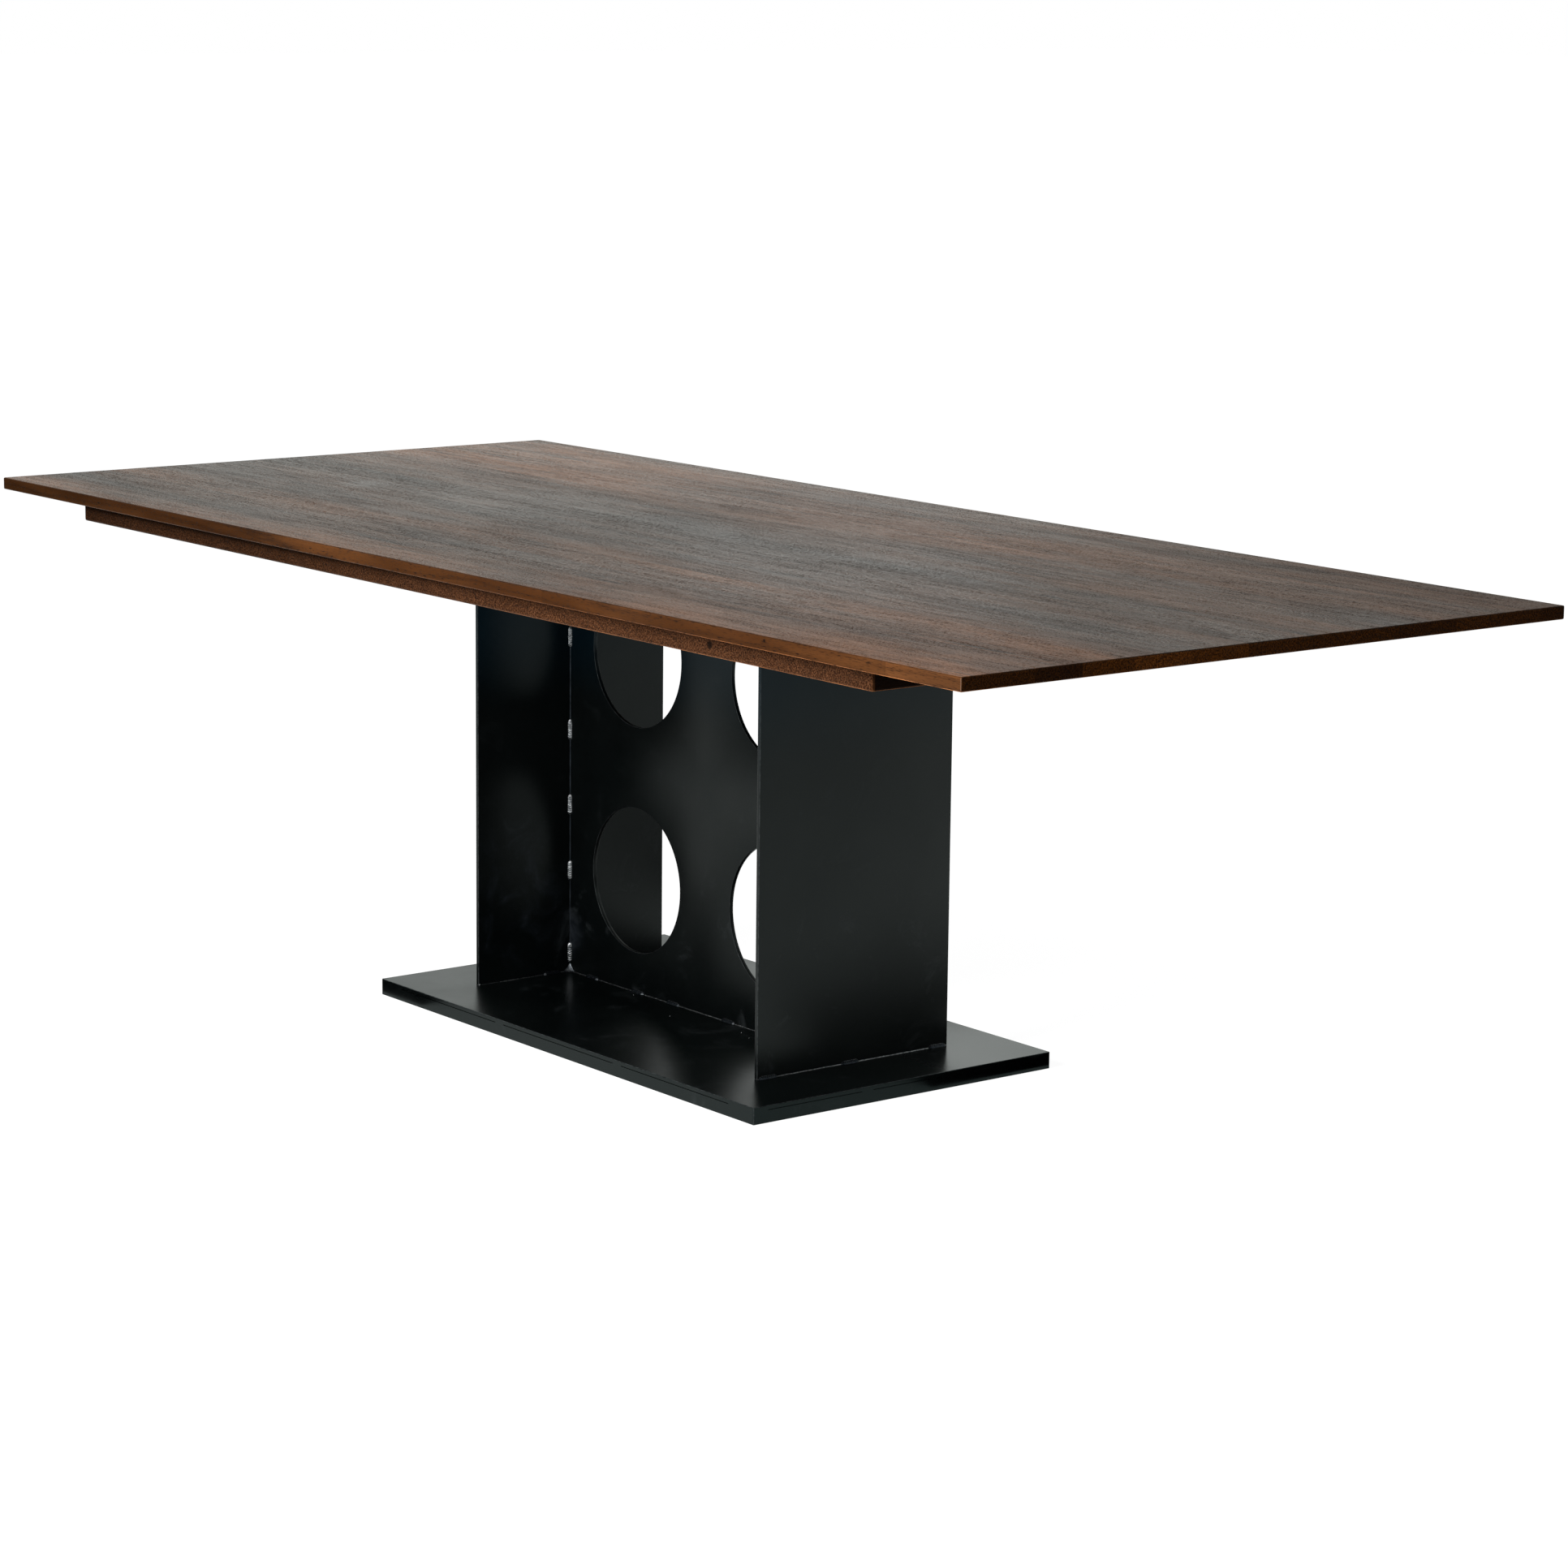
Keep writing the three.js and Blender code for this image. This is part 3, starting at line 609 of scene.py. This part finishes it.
def dress_top():
    """The planks. Light and dark areas run on across their seams, while each has its own grain."""
    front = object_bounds()[0].y
    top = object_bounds()[1].z
    knot = (Vector((EDGE_KNOT_X, front, top - 6 * MM)), EDGE_KNOT_RADIUS)
    polished = [(Vector((x, y, top)), reach, smoother) for x, y, reach, smoother in POLISHED_PLACES]
    planks = sorted(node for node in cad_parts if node.startswith("top_plank"))
    for i, node in enumerate(planks):
        lean = noise.noise(Vector((i * 1.7, 0.3, 0)))
        dress_in_walnut(Board(
            node=node,
            along=0,
            heart=(middle(node).y + 0.09 * lean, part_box(node)[0].z - 0.035 - 0.03 * abs(lean)),
            seed=3.7 * i,
            tone_of=lambda g: g.math("MULTIPLY", over_top(g, TOP_TONES), PLANK_TONES[i]),
            painted_side_light_of=painted_edge_light,
            roughness_of=lambda g: over_top(g, TOP_ROUGHNESS),
            end_tone=END_TONES[i],
            end_tint=END_TINT,
            staves=i in (0, len(planks) - 1),
            knots=[knot] if i == 0 else [],
            polished=polished))


def dress_under_layer():
    """The boards across the table, with painted light that makes them a little lighter towards the right,
    where a painted shadow under the top starts higher up."""
    boards = sorted(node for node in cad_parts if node.startswith("under_board"))
    for i, node in enumerate(boards):
        low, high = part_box(node)
        x = (low.x + high.x) / 2 + 0.05 * math.sin(i * 2.1)
        # painted light: a little lighter towards the right
        tone = 0.74 + 0.12 * math.tanh(x / 0.3) + 0.04 * math.sin(1.3 * i)
        knot = (Vector((UNDER_KNOT_X, low.y, (low.z + high.z) / 2)), UNDER_KNOT_RADIUS)
        has_knot = low.x < UNDER_KNOT_X < high.x and low.y < 0
        dress_in_walnut(Board(
            node=node,
            along=1,
            heart=(x, low.z - 0.03),
            seed=50 + 2.9 * i,
            tone_of=lambda g: tone,
            painted_side_light_of=lambda g: PAINTED_UNDER_SIDE_SHADE,
            roughness_of=lambda g: WALNUT_ROUGHNESS,
            end_tone=0.95 * tone,
            ring_depth=0.3,
            pore_scale=560.0,
            # the painted shadow under the top starts higher up towards the right
            shade_from=high.z - (10.5 - 3.5 * math.tanh(x / 0.5)) * MM,
            knots=[knot] if has_knot else []))


BASE_GLOSS = 0.16
BASE_TINT = (0.7, 1.0, 1.0, 1.0)


def dress_base():
    """The base plates, most polished at the rear right corner, and the flange."""
    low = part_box("base_lower_plate")[0]
    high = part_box("base_upper_plate")[1]
    rear_corner = (Vector((high.x, high.y, high.z)), 0.25)
    steel = black_steel("base steel", low, high, BASE_GLOSS, BASE_TINT, polished=[rear_corner])
    dress("base_lower_plate", steel)
    dress("base_upper_plate", steel)
    dress("top_flange", black_steel("flange steel", *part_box("top_flange")))


# ---------------------------------------------------------------- new pieces
def new_piece(name, shape, material, slot, *nodes):
    """Makes a bmesh a piece of the table that stands for these CAD nodes."""
    bmesh.ops.recalc_face_normals(shape, faces=shape.faces)
    mesh = bpy.data.meshes.new(name)
    shape.to_mesh(mesh)
    shape.free()
    mesh.shade_smooth()
    mesh.set_sharp_from_angle(angle=math.radians(35))
    mesh.materials.append(material)
    piece = bpy.data.objects.new(name, mesh)
    bpy.context.scene.collection.objects.link(piece)
    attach(piece, "root")
    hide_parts(*nodes)
    return piece


def join_rows(shape, rows, around):
    """Faces between rows of vertices. around closes each row on itself."""
    for row, after in zip(rows, rows[1:]):
        for k in range(0 if around else 1, len(row)):
            shape.faces.new((row[k - 1], row[k], after[k], after[k - 1]))


PANEL_ARRIS = 0.7 * MM
ARRIS_STEPS = 4
RIGHT_PANEL_GLOSS = 0.24
PANEL_SMUDGE = 0.15  # how far the smudge on the left panel's foot reaches


def end_panel(node):
    """A steel plate that stands upright, its four upright arrises eased."""
    low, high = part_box(node)
    shape = bmesh.new()
    rows = []
    for level in (low.z, high.z):
        row = []
        for x, y, start in ((high.x, high.y, 0), (low.x, high.y, 90), (low.x, low.y, 180),
                            (high.x, low.y, 270)):
            centre = Vector((x - math.copysign(PANEL_ARRIS, x - (low.x + high.x) / 2),
                             y - math.copysign(PANEL_ARRIS, y), level))
            for i in range(ARRIS_STEPS + 1):
                turn = math.radians(start + 90 * i / ARRIS_STEPS)
                round_corner = PANEL_ARRIS * Vector((math.cos(turn), math.sin(turn), 0))
                row.append(shape.verts.new(centre + round_corner))
        rows.append(row)
    join_rows(shape, rows, True)
    for row in rows:
        shape.faces.new(row)
    is_left = high.x < 0
    smudges = [(Vector((high.x, 0.6 * low.y, low.z + 0.13)), PANEL_SMUDGE)] if is_left else []
    gloss = STEEL_GLOSS if is_left else RIGHT_PANEL_GLOSS
    material = black_steel(node.replace("_", " "), low, high, gloss, smudges=smudges)
    new_piece(node.replace("panel", "plate"), shape, material, "black_steel", node)


HOLE_RADIUS = 114.3 * MM
HOLE_STEPS = 96
WEB_ARRIS = 0.6 * MM
WEB_SMUDGE = 0.05  # how far the smudges in the web's lower corners reach


def web_plate():
    """The web: four square cells with a round hole in each, the holes' arrises eased."""
    low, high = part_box("web_plate")
    half_cell = (high.x - low.x) / 4
    centre = middle("web_plate")
    half = (high.y - low.y) / 2
    shape = bmesh.new()
    profile = []  # hole radius and depth, from the front face to the rear one
    for side in (-1, 1):
        bend = []
        for i in range(ARRIS_STEPS + 1):
            turn = math.pi / 2 * i / ARRIS_STEPS
            bend.append((HOLE_RADIUS + WEB_ARRIS * (1 - math.sin(turn)),
                         side * (half - WEB_ARRIS * (1 - math.cos(turn)))))
        profile += bend if side < 0 else reversed(bend)
    for cell_x in (-half_cell, half_cell):
        for cell_z in (-half_cell, half_cell):
            hub = centre + Vector((cell_x, 0, cell_z))
            columns = []
            for i in range(HOLE_STEPS):
                turn = 2 * math.pi * i / HOLE_STEPS
                ray = Vector((math.cos(turn), 0, math.sin(turn)))
                border = hub + ray * half_cell / max(abs(ray.x), abs(ray.z))
                column = [border + Vector((0, -half, 0))]
                column += [hub + ray * radius + Vector((0, depth, 0)) for radius, depth in profile]
                column.append(border + Vector((0, half, 0)))
                columns.append([shape.verts.new(point) for point in column])
            join_rows(shape, columns + columns[:1], False)
    bmesh.ops.remove_doubles(shape, verts=shape.verts, dist=1e-6)
    bmesh.ops.bridge_loops(shape, edges=[edge for edge in shape.edges if edge.is_boundary])
    smudges = [(Vector((x, low.y, low.z + 0.06)), WEB_SMUDGE) for x in (low.x, high.x)]
    material = black_steel("web steel", low, high, smudges=smudges)
    new_piece("web", shape, material, "black_steel", "web_plate")


# ---------------------------------------------------------------- welds
ROOT_LEG = 1.3 * MM
ROOT_STEP = 4 * MM
ROOT_STOP = 40 * MM  # how far the inner root beads stop short of a panel's free edge
STITCH_LEG = 4.4 * MM
STITCH_LENGTH = 32 * MM
CORNER_FILLET = 15 * MM
FILLET_HOLLOW = 1.25  # 1 is a flat face
BEAD_SIDES = 8
BEAD_STEP = 0.5 * MM
BEAD_FULLNESS = 0.4  # 0 is a flat face, 1 a round one
BEAD_TAPER = 5 * MM
BEAD_END_LOSS = 0.55
BEAD_SINK = 0.15 * MM
CRATER_AND_HIGHLIGHT_LENGTH = 3 * MM
GROUND_SHINE = 0.08
RIPPLE_PITCH = 3.6 * MM
RIPPLE_LAG = 2.2 * MM
RIPPLE_SHARE = 0.16
RIPPLE_MEAN = 0.64
WOBBLE_SHARE = 0.12
WOBBLE_SCALE = 160
SPATTER_COUNT = 6
SPATTER_RADII = (0.5 * MM, 1.1 * MM)
SPATTER_REACH = (14 * MM, 60 * MM)  # how far it lies from the web
SPATTER_END_GAP = 12 * MM
SPATTER_SEED = 7
DROP_RADIUS = 1.8 * MM  # a drop at the left panel's front foot
# Where the stitches' middles lie, as shares of the joint's length.
UPRIGHT_STITCHES = (0.042, 0.229, 0.379, 0.548, 0.756, 0.92)  # from the base up
WEB_STITCHES = (0.087, 0.259, 0.389, 0.588, 0.767, 0.92)  # from left to right
OUTER_STITCHES = (0.055, 0.48, 0.945)  # from front to rear
INNER_STITCHES = (0.26,)  # from the web outwards


def bead(shape, start, run, legs, length, leg, step, body, toe, crater_and_highlight=None):
    """A bead of rippled weld metal between two plates. body and toe say how bare its middle and its second
    edge are, and the last value how bare the last few millimetres are, where the arc stopped; on the upright
    stitches it is a painted highlight where their top ends catch the light."""
    bare = shape.verts.layers.float["bare"]
    count = max(2, round(length / step))
    rows = []
    for i in range(count + 1):
        along = length * i / count
        end = max(0.0, 1 - min(along, length - along) / BEAD_TAPER)
        fill = 1 - BEAD_END_LOSS * end * end
        origin = start + run * along - (legs[0] + legs[1]) * BEAD_SINK
        wobble = WOBBLE_SHARE * noise.noise(origin * WOBBLE_SCALE)
        row = []
        for k in range(BEAD_SIDES + 1):
            turn = math.pi / 2 * k / BEAD_SIDES
            cos, sin = math.cos(turn), math.sin(turn)
            ripple = abs(math.sin(math.pi * (along + RIPPLE_LAG * math.sin(2 * turn)) / RIPPLE_PITCH))
            face = (1 - BEAD_FULLNESS) / (cos + sin) + BEAD_FULLNESS
            reach = leg * fill * face * (1 + wobble + RIPPLE_SHARE * (ripple - RIPPLE_MEAN))
            vert = shape.verts.new(origin + legs[0] * reach * cos + legs[1] * reach * sin)
            vert[bare] = toe if k == BEAD_SIDES else body
            if crater_and_highlight is not None and length - along < CRATER_AND_HIGHLIGHT_LENGTH:
                vert[bare] = crater_and_highlight
            row.append(vert)
        row.append(shape.verts.new(origin))
        rows.append(row)
    join_rows(shape, rows, True)
    shape.faces.new(rows[0])
    shape.faces.new(rows[-1])


def weld_run(shape, start, run, legs, length, stitches, root, body, toe, crater_and_highlight):
    """A thin root bead along a joint, with stitches at these shares of its length. root, body, toe and end
    crater say how bare they are; on the upright stitches the end crater is a painted highlight."""
    bead(shape, start, run, legs, length, ROOT_LEG, ROOT_STEP, root, root)
    for share in stitches:
        low = max(0.0, share * length - STITCH_LENGTH / 2)
        high = min(length, share * length + STITCH_LENGTH / 2)
        bead(shape, start + run * low, run, legs, high - low, STITCH_LEG, BEAD_STEP, body, toe, crater_and_highlight)


def corner_fillet(shape, corner, directions, steps=10):
    """The ground fillet where three plates meet: a hollow three-cornered patch, closed behind."""
    bare = shape.verts.layers.float["bare"]
    corner = corner - sum(directions, Vector()) * BEAD_SINK
    rows = []
    for i in range(steps + 1):
        row = []
        for j in range(steps + 1 - i):
            shares = (i / steps, j / steps, (steps - i - j) / steps)
            reach = sum((d * share ** FILLET_HOLLOW for d, share in zip(directions, shares)), Vector())
            vert = shape.verts.new(corner + reach * CORNER_FILLET)
            vert[bare] = GROUND_SHINE
            row.append(vert)
        rows.append(row)
    for row, after in zip(rows, rows[1:]):
        for j in range(len(after)):
            shape.faces.new((row[j], row[j + 1], after[j]))
            if j:
                shape.faces.new((row[j], after[j], after[j - 1]))
    back = shape.verts.new(corner)
    rims = (rows[0], [row[0] for row in rows], [row[-1] for row in rows])
    for rim in rims:
        for a, b in zip(rim, rim[1:]):
            shape.faces.new((a, b, back))


def spatter(shape, place, radius):
    """A drop of weld metal stuck to a plate."""
    bare = shape.verts.layers.float["bare"]
    turn = Matrix.Translation(place) @ Matrix.Diagonal((1, 1, 0.7, 1))
    drop = bmesh.ops.create_icosphere(shape, subdivisions=2, radius=radius, matrix=turn)
    for vert in drop["verts"]:
        vert[bare] = 1.0


def new_weld():
    """An empty shape whose points can say how bare their metal is."""
    shape = bmesh.new()
    shape.verts.layers.float.new("bare")
    return shape


# How bare the metal is: of the root, and of a stitch's middle, edge and end crater, which on the upright
# stitches is a painted highlight at their top ends.
DARK_WELD = (0.32, 0.02, 0.45, 0.08)
BRIGHT_WELD = (0.02, 0.3, 0.5, 1.0)


def bay_weld(node, side, metal):
    """The welds in front of the web (side -1) or behind it (side 1)."""
    web_low, web_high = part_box("web_plate")
    panel_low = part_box("left_end_panel")[0]
    face = web_low.y if side < 0 else web_high.y
    outward = Vector((0, side, 0))
    panel_edge = side * abs(panel_low.y)
    inner_length = abs(panel_edge - face) - ROOT_STOP
    width = web_high.x - web_low.x
    shape = new_weld()
    for level, up in ((web_low.z, 1), (web_high.z, -1)):
        upright = Vector((0, 0, up))
        weld_run(shape, Vector((web_low.x, face, level)), Vector((1, 0, 0)), (outward, upright), width,
                 WEB_STITCHES, *DARK_WELD)
        for end, x in ((-1, web_low.x), (1, web_high.x)):
            weld_run(shape, Vector((x, face, level)), outward, (Vector((-end, 0, 0)), upright), inner_length,
                     INNER_STITCHES, *DARK_WELD)
    for end, x in ((-1, web_low.x), (1, web_high.x)):
        corner = Vector((x, face, web_low.z))
        inward = Vector((-end, 0, 0))
        weld_run(shape, corner, Vector((0, 0, 1)), (inward, outward), web_high.z - web_low.z,
                 UPRIGHT_STITCHES, *BRIGHT_WELD)
        corner_fillet(shape, corner, (inward, outward, Vector((0, 0, 1))))
    chance = random.Random(SPATTER_SEED + side)
    for _ in range(SPATTER_COUNT):
        x = chance.uniform(web_low.x + SPATTER_END_GAP, web_high.x - SPATTER_END_GAP)
        y = face + side * chance.uniform(*SPATTER_REACH)
        spatter(shape, Vector((x, y, web_low.z)), chance.uniform(*SPATTER_RADII))
    if side < 0:
        spatter(shape, Vector((web_low.x, panel_low.y + 2 * MM, web_low.z + 1 * MM)), DROP_RADIUS)
    new_piece(node.replace("weld", "beads"), shape, metal, "bare_steel", node)


def outer_weld(node, end, up, metal):
    """The weld along an end panel's outer face, at the base (up is 1) or under the flange (-1)."""
    low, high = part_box("left_end_panel" if end < 0 else "right_end_panel")
    start = Vector((low.x if end < 0 else high.x, low.y, low.z if up > 0 else high.z))
    shape = new_weld()
    weld_run(shape, start, Vector((0, 1, 0)), (Vector((end, 0, 0)), Vector((0, 0, up))), high.y - low.y,
             OUTER_STITCHES, *DARK_WELD)
    new_piece(node.replace("weld", "bead"), shape, metal, "bare_steel", node)


# ---------------------------------------------------------------- screws
SCREW_STEPS = 36
HEAD_HEIGHT = 4 * MM
RECESS_LOBES = 6
# From the middle of the head's six-lobed recess outwards, and then up the shank: the radius and the
# level against the head's bearing face, in millimetres, and how deep the lobes are.
SCREW_PROFILE = ((1.4, -1.8, 0.12), (2.1, -1.9, 0.14), (2.2, -3.9, 0.14), (2.6, -4.0, 0.04), (4.9, -4.0, 0),
                 (5.7, -3.6, 0), (6.2, -2.8, 0), (6.5, -1.6, 0), (6.5, -0.1, 0), (6.4, 0, 0), (2.5, 0, 0),
                 (2.5, 16.0, 0), (0.4, 19.9, 0))


def top_screw(node, metal):
    """A wood screw with a washer head, its head down."""
    low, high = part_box(node)
    head_top = Vector(((low.x + high.x) / 2, (low.y + high.y) / 2, low.z + HEAD_HEIGHT))
    shape = bmesh.new()
    rows = []
    for radius, level, lobe in SCREW_PROFILE:
        row = []
        for i in range(SCREW_STEPS):
            turn = 2 * math.pi * i / SCREW_STEPS
            reach = radius * MM * (1 + lobe * math.cos(RECESS_LOBES * turn))
            point = Vector((reach * math.cos(turn), reach * math.sin(turn), level * MM))
            row.append(shape.verts.new(head_top + point))
        rows.append(row)
    join_rows(shape, rows, True)
    shape.faces.new(rows[0])
    shape.faces.new(rows[-1])
    new_piece(node.replace("top_screw", "screw"), shape, metal, "bare_steel", node)


# ---------------------------------------------------------------- studio
def seen_rays(g):
    """1 for rays from the camera, from a mirror or through glass, 0 for the rest."""
    path = g.tree.nodes.new("ShaderNodeLightPath").outputs
    bounced = g.math("MAXIMUM", path["Is Glossy Ray"], path["Is Transmission Ray"])
    return g.math("MAXIMUM", path["Is Camera Ray"], bounced)


def seen_colour(g, colour):
    """White for the camera, a little cooler for mirror images, and this colour for the rest."""
    path = g.tree.nodes.new("ShaderNodeLightPath").outputs
    return g.mix(path["Is Camera Ray"], g.mix(path["Is Glossy Ray"], colour, MIRRORED_WHITE), (1, 1, 1))


def world_light():
    """A white backdrop for the camera and for reflections, and plain soft light on everything."""
    world = bpy.data.worlds.new("studio")
    world.use_nodes = True
    g = Graph(world.node_tree)
    seen = seen_rays(g)
    background = g.tree.nodes["Background"]
    g.feed(background.inputs["Color"], seen_colour(g, SKY_COLOUR))
    g.feed(background.inputs["Strength"], g.math("MULTIPLY_ADD", seen, 1 - SKY_STRENGTH, SKY_STRENGTH))
    bpy.context.scene.world = world


def stage_sheet(name, corners, material):
    """A flat sheet that belongs to the studio."""
    mesh = bpy.data.meshes.new(name)
    mesh.from_pydata(corners, [], [(0, 1, 2, 3)])
    mesh.materials.append(material)
    sheet = bpy.data.objects.new(name, mesh)
    bpy.context.scene.collection.objects.link(sheet)
    sheet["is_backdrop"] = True
    return sheet


def floor():
    """A white floor that keeps the table's shadow."""
    material = bpy.data.materials.new("floor")
    material.use_nodes = True
    g = Graph(material.node_tree)
    lit = g.add("ShaderNodeBsdfDiffuse", {"Color": FLOOR_COLOUR})
    glow = g.add("ShaderNodeEmission", {"Color": seen_colour(g, (1, 1, 1)),
                                        "Strength": g.math("MULTIPLY", seen_rays(g), FLOOR_GLOW)})
    g.feed(g.tree.nodes["Material Output"].inputs["Surface"], g.add("ShaderNodeAddShader", {0: lit, 1: glow}))
    reach = FLOOR_REACH
    stage_sheet("floor", [(-reach, -reach, 0), (reach, -reach, 0), (reach, reach, 0), (-reach, reach, 0)],
                material)


def card(name, corners):
    """A black card that only reflections show."""
    material = new_material(name, lambda g: {"Base Color": (0, 0, 0), "Specular IOR Level": 0.0})
    sheet = stage_sheet(name, corners, material)
    sheet.visible_camera = False
    sheet.visible_diffuse = False
    sheet.visible_shadow = False


FLAG_HEIGHT = 1.35  # low enough to stay out of the top's own reflections


def flag(name, azimuth, distance, width):
    """A black card that stands beside the set and keeps the pedestal's reflections dark."""
    turn = math.radians(azimuth)
    foot = Vector((math.sin(turn), -math.cos(turn), 0)) * distance
    side = Vector((math.cos(turn), math.sin(turn), 0)) * width / 2
    up = Vector((0, 0, FLAG_HEIGHT))
    card(name, [foot - side, foot + side, foot + side + up, foot - side + up])


def floor_shadow_card(name, low_x, high_x, low_y, high_y):
    """A black card flat on the floor beside the base: a painted shadow of the table on the floor, which only
    the plates' reflections show.
    """
    level = 1 * MM
    card(name, [(low_x, low_y, level), (high_x, low_y, level),
                (high_x, high_y, level), (low_x, high_y, level)])


def soft_lamp(name, place, aim, size, power, lit=None, mirrored=True):
    """A soft lamp. It lights only the objects in lit, where that is given, and shows in reflections
    where mirrored is true."""
    data = bpy.data.lights.new(name, "AREA")
    data.shape = "RECTANGLE"
    data.size, data.size_y = size
    data.energy = power
    lamp = bpy.data.objects.new(name, data)
    lamp.location = place
    lamp.rotation_euler = (Vector(aim) - Vector(place)).to_track_quat("-Z", "Y").to_euler()
    lamp.visible_camera = False
    lamp.visible_glossy = mirrored
    bpy.context.scene.collection.objects.link(lamp)
    if lit is not None:
        group = bpy.data.collections.new(name)
        for thing in lit:
            group.objects.link(thing)
        lamp.light_linking.receiver_collection = group


KEY_LAMP = ((0.45, -2.15, 1.36), (0.45, -0.5, 0.72), (1.1, 0.9), 48)  # place, aim, size and power
REAR_LAMP = ((-4.53, 3.94, 2.25), (0, 0, 0.3), (1.0, 0.8), 2.2)


def key_lamps():
    """The key light: one lamp on the steel and the floor, and a like one on the wood that doesn't
    glare in the oiled top. They come after the pieces that they light."""
    wood = [thing for node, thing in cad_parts.items() if node.startswith(("top_plank", "under_board"))]
    rest = [thing for thing in bpy.context.scene.objects if thing.type == "MESH" and thing not in wood]
    soft_lamp("key on steel", *KEY_LAMP, rest)
    soft_lamp("key on wood", *KEY_LAMP, wood, mirrored=False)


CAMERA_AZIMUTH = math.radians(52.094)
CAMERA_ELEVATION = math.radians(10.736)
CAMERA_ROLL = math.radians(0.619)
CAMERA_TARGET = Vector((0.0737, 0.0900, 0.3849))
CAMERA_DISTANCE = 6.5378
CAMERA_LENS = 99.28
SENSOR_WIDTH = 36.0


def camera():
    """Looks at the table from the front right and a little above, level but for a slight roll."""
    azimuth, elevation = CAMERA_AZIMUTH, CAMERA_ELEVATION
    back = Vector((math.sin(azimuth) * math.cos(elevation), -math.cos(azimuth) * math.cos(elevation),
                   math.sin(elevation)))
    data = bpy.data.cameras.new("camera")
    data.lens = CAMERA_LENS
    data.sensor_width = SENSOR_WIDTH
    view = bpy.data.objects.new("camera", data)
    turn = back.to_track_quat("Z", "Y").to_matrix() @ Matrix.Rotation(CAMERA_ROLL, 3, "Z")
    view.matrix_world = Matrix.Translation(CAMERA_TARGET + back * CAMERA_DISTANCE) @ turn.to_4x4()
    bpy.context.scene.collection.objects.link(view)
    bpy.context.scene.camera = view


# ---------------------------------------------------------------- put together
camera()
world_light()
floor()
flag("flag front left", -52, 3.8, 6.0)
flag("flag rear right", 128, 5.0, 8.0)
floor_shadow_card("floor shadow card left", -0.85, -0.38, -0.60, -0.285)
floor_shadow_card("floor shadow card right", 0.495, 0.80, 0.06, 0.60)
floor_shadow_card("floor shadow card rear", -0.05, 0.74, 0.62, 1.20)
soft_lamp("rear box", *REAR_LAMP)

dress_top()
dress_under_layer()
dress_base()
end_panel("left_end_panel")
end_panel("right_end_panel")
web_plate()

metal = weld_metal()
bay_weld("front_bay_weld", -1, metal)
bay_weld("rear_bay_weld", 1, metal)
for side_name, end in (("left", -1), ("right", 1)):
    outer_weld(f"{side_name}_panel_base_weld", end, 1, metal)
    outer_weld(f"{side_name}_panel_flange_weld", end, -1, metal)

zinc = zinc_plate()
for node in sorted(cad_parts):
    if node.startswith("top_screw"):
        top_screw(node, zinc)

key_lamps()

bpy.context.scene.view_settings.view_transform = "Standard"
